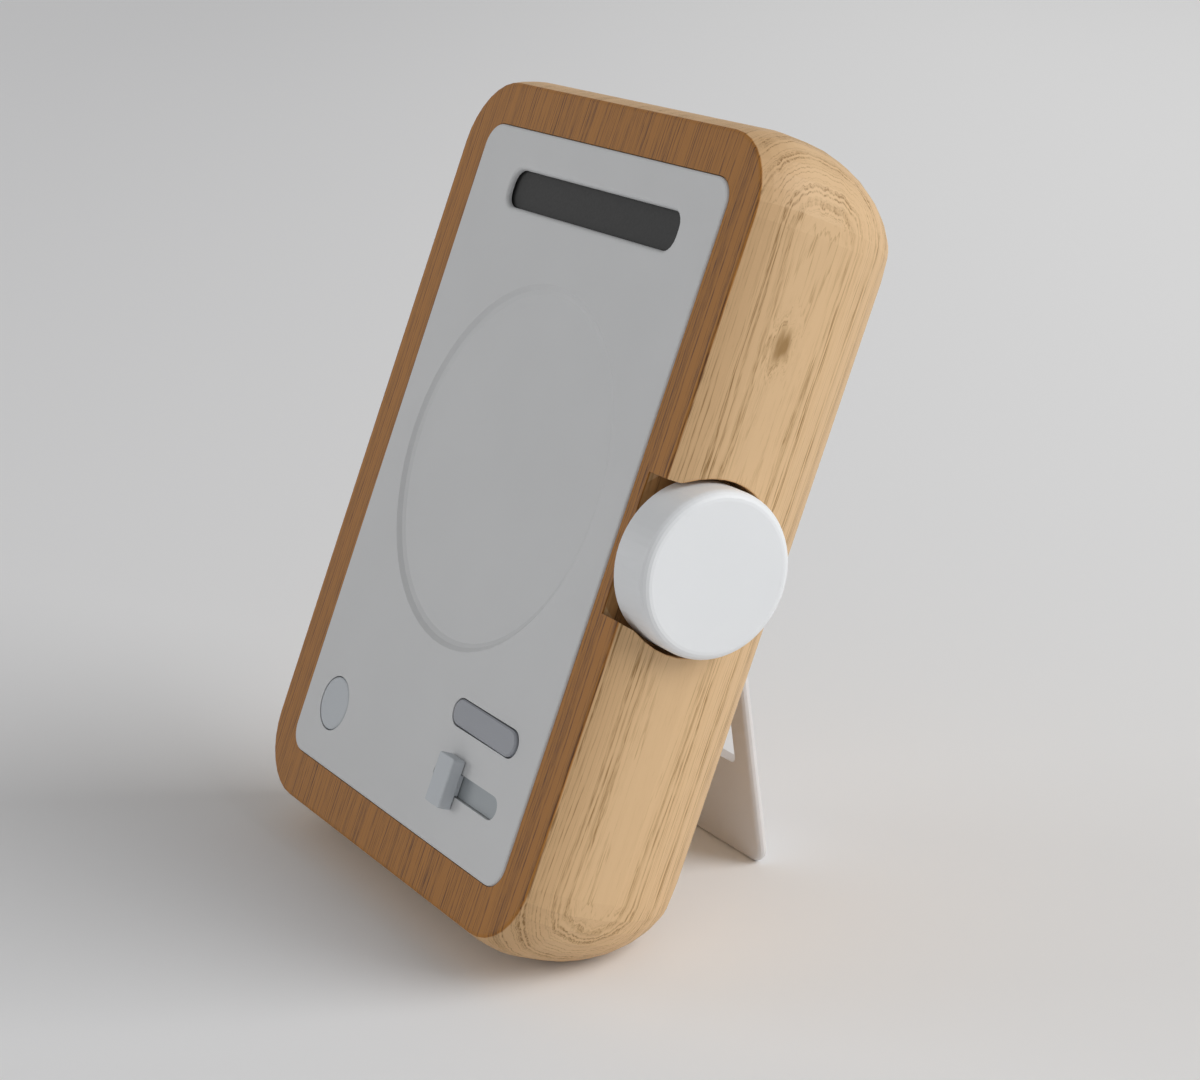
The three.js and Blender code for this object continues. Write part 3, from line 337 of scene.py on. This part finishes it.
def knot_core(tree, knot_away, shade_painted):
    edge = {"From Min": KNOT_EDGE + CORE_FROM, "From Max": KNOT_EDGE + CORE_TO}
    middle = {"Value": knot_away, **edge, "To Min": CORE_DARK, "To Max": 0.0}
    core = add(tree, "ShaderNodeMapRange", middle, interpolation_type="SMOOTHSTEP")
    unshaded = add(tree, "ShaderNodeMath", {0: 1.0, 1: shade_painted}, operation="SUBTRACT")
    return add(tree, "ShaderNodeMath", {0: core, 1: unshaded}, operation="MULTIPLY")


print("the knot's dark middle fades out over", round(CORE_TO - CORE_FROM, 1), "mm")

# %% [markdown]
# ## Oiled ash
# The case is read as ash, a pale wood with straight grain. Oil that was rubbed in leaves it
# matte, with its pores still open. A picture of wood could be wrapped round the case, but it
# would stretch at the round corners and break at the edges.
#
# Here the base tone drifts slowly along the grain, and the painted-shade mask mixes the pale
# brown of the sides with the deeper brown that paints the front's shade. The lines and the knot
# then darken both, and the lines are pressed in a little, as open pores are.

# %% Make the oiled ash
SIDE_PALE, SIDE_PLAIN, SIDE_LINE = "#DCB98D", "#D5B286", "#997543"
# The second three colours are the same ash with the front's shade painted in.
SHADED_PALE, SHADED_PLAIN, SHADED_LINE = "#B6792C", "#A86E27", "#5C340E"
TONE_MM = (5, 60, 9)
PORE_DEPTH_MM = 0.04


def ash_colour(tree, shade_painted, dark):
    shade = {"Vector": case_coordinates(tree, *TONE_MM), "Scale": 1.0, "Detail": 1.0}
    tone = add(tree, "ShaderNodeTexNoise", shade)
    side = {MIX_FACTOR: tone, MIX_FIRST: linear(SIDE_PLAIN), MIX_SECOND: linear(SIDE_PALE)}
    side_base = add(tree, "ShaderNodeMix", side, MIX_RESULT, data_type="RGBA")
    front = {MIX_FACTOR: tone, MIX_FIRST: linear(SHADED_PLAIN), MIX_SECOND: linear(SHADED_PALE)}
    shaded_base = add(tree, "ShaderNodeMix", front, MIX_RESULT, data_type="RGBA")
    ground = {MIX_FACTOR: shade_painted, MIX_FIRST: side_base, MIX_SECOND: shaded_base}
    base = add(tree, "ShaderNodeMix", ground, MIX_RESULT, data_type="RGBA")
    ink = {MIX_FACTOR: shade_painted, MIX_FIRST: linear(SIDE_LINE), MIX_SECOND: linear(SHADED_LINE)}
    line = add(tree, "ShaderNodeMix", ink, MIX_RESULT, data_type="RGBA")
    grained = {MIX_FACTOR: dark, MIX_FIRST: base, MIX_SECOND: line}
    return add(tree, "ShaderNodeMix", grained, MIX_RESULT, data_type="RGBA")


def oiled_ash():
    material, tree, shader = new_material("oiled_ash")
    place = case_coordinates(tree, 1, 1, 1)
    shade_painted = painted_shade_mask(tree, place)
    knot_away = knot_distance(tree, place)
    lines = pore_lines(tree, ring_distance(tree, place, knot_away), shade_painted)
    core = knot_core(tree, knot_away, shade_painted)
    dark = add(tree, "ShaderNodeMath", {0: lines, 1: core}, operation="MAXIMUM")
    colour = ash_colour(tree, shade_painted, dark)
    open_pores = {"Height": lines, "Strength": 0.2, "Distance": PORE_DEPTH_MM * MM}
    normal = add(tree, "ShaderNodeBump", open_pores, invert=True)
    finish = {"Base Color": colour, "Normal": normal, "Roughness": 0.55, "IOR": 1.45}
    set_inputs(tree, shader, finish)
    return material


ash = oiled_ash()
print("oiled ash takes", len(ash.node_tree.nodes), "nodes")


# %% [markdown]
# ## Moulded plastics and coatings
# The panel, the keys and the dial are taken to be ABS from a spark-eroded mould, which leaves a
# very fine matte texture of about a tenth of a millimetre. Real bumps of that size would take
# millions of faces, so the surface is only shaded as if they were there. A tenth of a millimetre
# is too fine to show at this distance, so the grain is drawn at about a third, where it softens
# the highlights. A slow change of two hundredths in the colour keeps large faces from looking
# dead.

# %% Make a moulded plastic
CLOUD_MM = (18, 18, 18)
CLOUD_FROM, CLOUD_TO = 0.35, 0.65
CLOUD_SHADE = 0.98
GLOSS_SPREAD = 0.06


def moulded_plastic(name, colour, roughness=0.5, grain_mm=0.3, depth_mm=0.008):
    material, tree, shader = new_material(name)
    fine = {"Vector": case_coordinates(tree, grain_mm, grain_mm, grain_mm), "Scale": 1.0}
    grain = add(tree, "ShaderNodeTexNoise", fine)
    cloudy = {"Vector": case_coordinates(tree, *CLOUD_MM), "Scale": 1.0, "Detail": 1.0}
    patch = add(tree, "ShaderNodeTexNoise", cloudy)
    spread = {"Value": patch, "From Min": CLOUD_FROM, "From Max": CLOUD_TO}
    factor = add(tree, "ShaderNodeMapRange", spread)
    plain = linear(colour)
    darker = tuple(channel * CLOUD_SHADE for channel in plain[:3]) + (1.0,)
    shades = {MIX_FACTOR: factor, MIX_FIRST: darker, MIX_SECOND: plain}
    tint = add(tree, "ShaderNodeMix", shades, MIX_RESULT, data_type="RGBA")
    relief = {"Height": grain, "Strength": 0.5, "Distance": depth_mm * MM}
    normal = add(tree, "ShaderNodeBump", relief)
    gloss = {"To Min": roughness - GLOSS_SPREAD, "To Max": roughness + GLOSS_SPREAD}
    rough = add(tree, "ShaderNodeMapRange", {"Value": grain, **gloss})
    finish = {"Base Color": tint, "Normal": normal, "Roughness": rough, "IOR": 1.53}
    set_inputs(tree, shader, finish)
    return material


rocker_plastic = moulded_plastic("spark_textured_abs_rocker", "#A1A4AB")
print("the rocker's plastic takes", len(rocker_plastic.node_tree.nodes), "nodes")

# %% [markdown]
# ## The list of dull finishes
# Each line names a real material and gives its colour. Where the usual values don't fit, it also
# says how rough the surface is, and how wide and deep its grain is in millimetres. The window is
# frosted on its face, so it mirrors nothing sharply, and the stand's powder coat has the grain
# of the powder that was baked on. The parts inside, such as the boards, the foam and the pouch
# cell, could each have a recipe of their own. They share this one, because each is a dull
# surface with a fine relief.

# %% Make the dull finishes
DULL_FINISHES = {
    "panel_plastic": moulded_plastic("spark_textured_abs_panel", "#D6D7D8"),
    "key_plastic": moulded_plastic("spark_textured_abs_keys", "#C5CACF"),
    # The strip is painted a darker grey than the panel: painted shade of the slot it lies in.
    "liner_plastic": moulded_plastic("spark_textured_abs_strip", "#A9AFB3"),
    "knob_plastic": moulded_plastic("soft_matte_abs_dial", "#E9EBED", 0.45),
    "tray_plastic": moulded_plastic("black_abs_tray", "#2A2B2D", 0.6),
    "smoked_acrylic": moulded_plastic("frosted_smoked_acrylic", "#1B1B1B", 0.62, 0.5),
    "black_plastic": moulded_plastic("black_nylon_moulding", "#1D1D1F", 0.6),
    "board_laminate": moulded_plastic("green_solder_mask", "#1F4A36", 0.4),
    # Its faint pink tint is painted bounce light from the wood.
    "white_powder_coat": moulded_plastic("white_powder_coat", "#DEDBDA", 0.55, 0.5, 0.012),
    "foam": moulded_plastic("open_cell_foam", "#3A3A3C", 0.95, 0.8, 0.2),
    "cell_foil": moulded_plastic("pouch_foil", "#A7ABB0", 0.4, 1.5, 0.05),
    "nylon": moulded_plastic("natural_nylon", "#E8E6DF", 0.55),
}
print("dull finishes:", len(DULL_FINISHES))


# %% [markdown]
# ## Metals
# Metal lets no light in, so its colour is the colour of its reflection. What the eye reads as
# the finish is the spread of that reflection: blasted metal scatters it evenly, and rolled metal
# draws it out across the rolling marks. A special shader could stretch the reflection. Here the
# marks themselves are drawn, with one noise for both: its grains are as wide as they are long
# for the first, and long and thin for the second. The nickel and the brass get the even kind.

# %% Make the metals
EVEN_MARKS_MM = (0.2, 0.2, 0.2)
ROLLING_MARKS_MM = (0.1, 2.0, 0.1)
MARK_DEPTH_MM = 0.004
GLOSSIER, DULLER = 0.06, 0.08


def worked_metal(name, colour, roughness, marks_mm=EVEN_MARKS_MM):
    material, tree, shader = new_material(name)
    worked = {"Vector": case_coordinates(tree, *marks_mm), "Scale": 1.0}
    marks = add(tree, "ShaderNodeTexNoise", {**worked, "Detail": 3.0, "Roughness": 0.6})
    gloss = {"To Min": roughness - GLOSSIER, "To Max": roughness + DULLER}
    rough = add(tree, "ShaderNodeMapRange", {"Value": marks, **gloss})
    relief = {"Height": marks, "Strength": 0.3, "Distance": MARK_DEPTH_MM * MM}
    normal = add(tree, "ShaderNodeBump", relief)
    finish = {"Base Color": linear(colour), "Metallic": 1.0, "Roughness": rough}
    set_inputs(tree, shader, {**finish, "Normal": normal})
    return material


METAL_FINISHES = {
    "steel": worked_metal("rolled_steel", "#B9BBBD", 0.35, ROLLING_MARKS_MM),
    "magnet_nickel": worked_metal("nickel_plate", "#C8C8C4", 0.2),
    "nut_brass": worked_metal("turned_brass", "#C9A25A", 0.3),
    "satin_aluminium": worked_metal("bead_blasted_aluminium", "#D6D7D8", 0.45),
}
print("metal finishes:", len(METAL_FINISHES))

# %% [markdown]
# ## Give every part its finish
# The record that came with the solids says what each part is made of, and each of those names
# gets its material here. The parts could be shaded flat, but their curves are made of small
# facets, and those would show. So each part is shaded smooth except where two faces really meet
# at an edge. The slide knob's rounded edges are so small that smooth shading would spread them
# over its faces, so it keeps more of its creases.

# %% Finish every part
FINISHES = {"oiled_wood": ash, **DULL_FINISHES, **METAL_FINISHES}
OWN_FINISHES = {"mode_rocker": rocker_plastic}
CREASE = math.radians(32)
OWN_CREASES = {"volume_slider": math.radians(12)}

used = Counter()
for subpart in frame["record"]["subparts"]:
    name = subpart["node"]
    part = NODES[name]
    material = OWN_FINISHES.get(name, FINISHES[subpart["material_slot"]])
    part.data.materials.clear()
    part.data.materials.append(material)
    part.data.shade_smooth()
    part.data.set_sharp_from_angle(angle=OWN_CREASES.get(name, CREASE))
    weighted = part.modifiers.new("face_weighted_shading", "WEIGHTED_NORMAL")
    weighted.keep_sharp = True
    used[material.name] += 1
print("parts finished:", sum(used.values()), dict(used))

# %% [markdown]
# ## What is seen and what gives light
# A backdrop does two jobs: it is seen behind the timer, and it throws light on it. A paler
# backdrop would also make the timer brighter. The renderer can tell the rays of the two jobs
# apart, so the backdrop gets a tone of its own for every ray that is seen, mirrored or passed
# through, and the light on the timer stays as it was.

# %% Rays that show the backdrop
BACKDROP_STRENGTH = 0.58


def shown_rays(tree):
    seen, mirrored, through = [
        add(tree, "ShaderNodeLightPath", output=ray)
        for ray in ("Is Camera Ray", "Is Glossy Ray", "Is Transmission Ray")
    ]
    direct = add(tree, "ShaderNodeMath", {0: seen, 1: mirrored}, operation="MAXIMUM")
    return add(tree, "ShaderNodeMath", {0: direct, 1: through}, operation="MAXIMUM")


print("the backdrop shows at", BACKDROP_STRENGTH, "of white")

# %% [markdown]
# ## The desk
# The timer stands on a plain pale surface that runs on behind it. It could be a sheet that
# curves up into a wall, as in a photographer's studio, but a view from behind would then look
# out over its open end. A large flat sheet of matte paper, just under the lowest point of the
# case, serves every view. It is painted a shade lighter toward the right of the view: painted
# light, for the light that falls more strongly on that side of the desk.
#
# Seen from low down, the sheet's far edge would draw a hard line across the room. So from 1.2
# metres on, the paper slowly takes on the tone of the backdrop.

# %% Make the paper
DESK_TURN = math.radians(60)
# The paper's colour at its two ends; the change from one to the other is painted light.
DESK_LEFT, DESK_RIGHT = "#E9E9EA", "#FEFEFE"
TONE_REACH = 0.3
FADE_START, FADE_END = 1.2, 3.5


def paper_colour(tree, place):
    turn = {"Vector": place, "Rotation": (0, 0, -DESK_TURN)}
    turned = add(tree, "ShaderNodeMapping", turn)
    along = add(tree, "ShaderNodeSeparateXYZ", {"Vector": turned}, "X")
    across_timer = {"Value": along, "From Min": -TONE_REACH, "From Max": TONE_REACH}
    lighter = add(tree, "ShaderNodeMapRange", across_timer, interpolation_type="SMOOTHSTEP")
    ends = {MIX_FIRST: linear(DESK_LEFT), MIX_SECOND: linear(DESK_RIGHT)}
    return add(tree, "ShaderNodeMix", {MIX_FACTOR: lighter, **ends}, MIX_RESULT, data_type="RGBA")


def matte_paper():
    material, tree, shader = new_material("matte_paper")
    place = add(tree, "ShaderNodeTexCoord", output="Object")
    matte = {"Roughness": 0.9, "Specular IOR Level": 0.0}
    set_inputs(tree, shader, {"Base Color": paper_colour(tree, place), **matte})

    from_timer = add(tree, "ShaderNodeVectorMath", {0: place}, "Value", operation="LENGTH")
    reach = {"Value": from_timer, "From Min": FADE_START, "From Max": FADE_END}
    far_away = add(tree, "ShaderNodeMapRange", reach, interpolation_type="SMOOTHSTEP")
    far_rays = {0: far_away, 1: shown_rays(tree)}
    fade = add(tree, "ShaderNodeMath", far_rays, operation="MULTIPLY")
    backdrop = add(tree, "ShaderNodeEmission", {"Strength": BACKDROP_STRENGTH})
    both = {0: fade, 1: shader.outputs["BSDF"], 2: backdrop}
    surface = add(tree, "ShaderNodeMixShader", both)
    set_inputs(tree, tree.nodes["Material Output"], {"Surface": surface})
    return material


paper = matte_paper()
print("paper from", DESK_LEFT, "to", DESK_RIGHT, "fades from", FADE_START, "to", FADE_END, "m")

# %% [markdown]
# ## Lay the sheet
# The sheet lies a fiftieth of a millimetre under the case, so that the two never share a face
# and flicker. It is marked as part of the stage, because it isn't a part of the timer.

# %% Lay the desk
DESK_SIZE = 12.0
DESK_BELOW = 0.02 * MM

bpy.ops.mesh.primitive_plane_add(size=DESK_SIZE, location=(0, 0, -DESK_BELOW))
desk = bpy.context.object
desk.name = "desk"
desk.data.materials.append(paper)
desk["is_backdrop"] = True
print("desk:", DESK_SIZE, "m square,", round(DESK_BELOW / MM, 2), "mm under the case")

# %% [markdown]
# ## Soft boxes
# A large soft box stands to the right and behind, high enough to light the dial, the right side
# and the top. It stands mostly behind the plane of the front panel, so the panel gets only
# about an eighth of its light from it. The room gives the panel about five eighths, and a weaker
# box in front, low and to the left, gives the last quarter. A bare bulb would be simpler, but
# its shadows have hard edges, and the photograph's shadow fades out slowly.

# %% Set up the soft boxes
TIMER_MIDDLE = (0.0, 0.0, 0.06)


def soft_box(name, location, size, power):
    light = bpy.data.lights.new(name, "AREA")
    light.shape = "SQUARE"
    light.size = size
    light.energy = power
    holder = bpy.data.objects.new(name, light)
    bpy.context.scene.collection.objects.link(holder)
    holder.location = location
    direction = Vector(TIMER_MIDDLE) - Vector(location)
    holder.rotation_euler = direction.to_track_quat("-Z", "Y").to_euler()
    print(name, power, "W from", round(direction.length, 2), "m")


soft_box("key_box", location=(3.25, 3.35, 3.05), size=4.2, power=216.0)
soft_box("front_fill", location=(-3.0, -3.8, 1.3), size=2.2, power=35.0)

# %% [markdown]
# ## The room
# Light also comes back from the walls and, more weakly, from the ceiling. Real walls could be
# built round the desk, but their brightness would then depend on the soft boxes. The world can
# do their work with a strength of its own, which falls from the walls' level at the horizon to
# the ceiling's high above. A direction's height is 0 at the horizon and 1 straight up. What is
# seen or mirrored gets the plain tone that the desk fades into.

# %% Light the room
WALL_STRENGTH = 0.5
CEILING_STRENGTH = 0.26
CEILING_HEIGHT = 0.9
WHITE = (1.0, 1.0, 1.0, 1.0)


def studio_room():
    world = bpy.data.worlds.new("studio_room")
    world.use_nodes = True
    tree = world.node_tree
    direction = add(tree, "ShaderNodeTexCoord", output="Generated")
    height = add(tree, "ShaderNodeSeparateXYZ", {"Vector": direction}, "Z")
    upward = {"Value": height, "From Min": 0.0, "From Max": CEILING_HEIGHT}
    walls = {**upward, "To Min": WALL_STRENGTH, "To Max": CEILING_STRENGTH}
    fill = add(tree, "ShaderNodeMapRange", walls, interpolation_type="SMOOTHSTEP")
    tones = {"Value": shown_rays(tree), "To Min": fill, "To Max": BACKDROP_STRENGTH}
    strength = add(tree, "ShaderNodeMapRange", tones)
    set_inputs(tree, tree.nodes["Background"], {"Strength": strength, "Color": WHITE})
    return world


bpy.context.scene.world = studio_room()
print("room:", WALL_STRENGTH, "from the walls,", CEILING_STRENGTH, "from the ceiling")

# %% [markdown]
# ## The camera
# The photograph was taken with a longer lens from the timer's right, a little above it. The
# camera could be placed by eye, but then the proportions couldn't be trusted. The lens, the
# distance and the direction were fitted to the outlines of the case, the panel, the dial and the
# stand instead, so those outlines fall where the photograph has them.

# %% Place the camera
LENS_MM = 80.71
SENSOR_MM = 36.0
NEAREST = 0.01
CAMERA_PLACE = (0.34328, -0.20027, 0.17111)
CAMERA_AIM = (0.00534, 0.00057, 0.05463)

camera_data = bpy.data.cameras.new("desk_camera")
camera_data.sensor_width = SENSOR_MM
camera_data.sensor_fit = "HORIZONTAL"
camera_data.lens = LENS_MM
camera_data.clip_start = NEAREST
camera = bpy.data.objects.new("desk_camera", camera_data)
bpy.context.scene.collection.objects.link(camera)
camera.location = CAMERA_PLACE
view_line = Vector(CAMERA_AIM) - Vector(CAMERA_PLACE)
camera.rotation_euler = view_line.to_track_quat("-Z", "Y").to_euler()
bpy.context.scene.camera = camera
bpy.context.scene.view_settings.view_transform = "Standard"
print("camera distance:", round(view_line.length, 3), "m")

# %% [markdown]
# ## Check the size
# The finishes must not change the timer's size. The two boxes are kept side by side, so the
# difference can be read after each render.

# %% Keep both boxes
visual_box = [list(corner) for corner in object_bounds()]
changes = [
    abs(new - old) / MM
    for new_corner, old_corner in zip(visual_box, cad_box)
    for new, old in zip(new_corner, old_corner)
]
print("the finishes changed the box by at most", round(max(changes), 3), "mm")
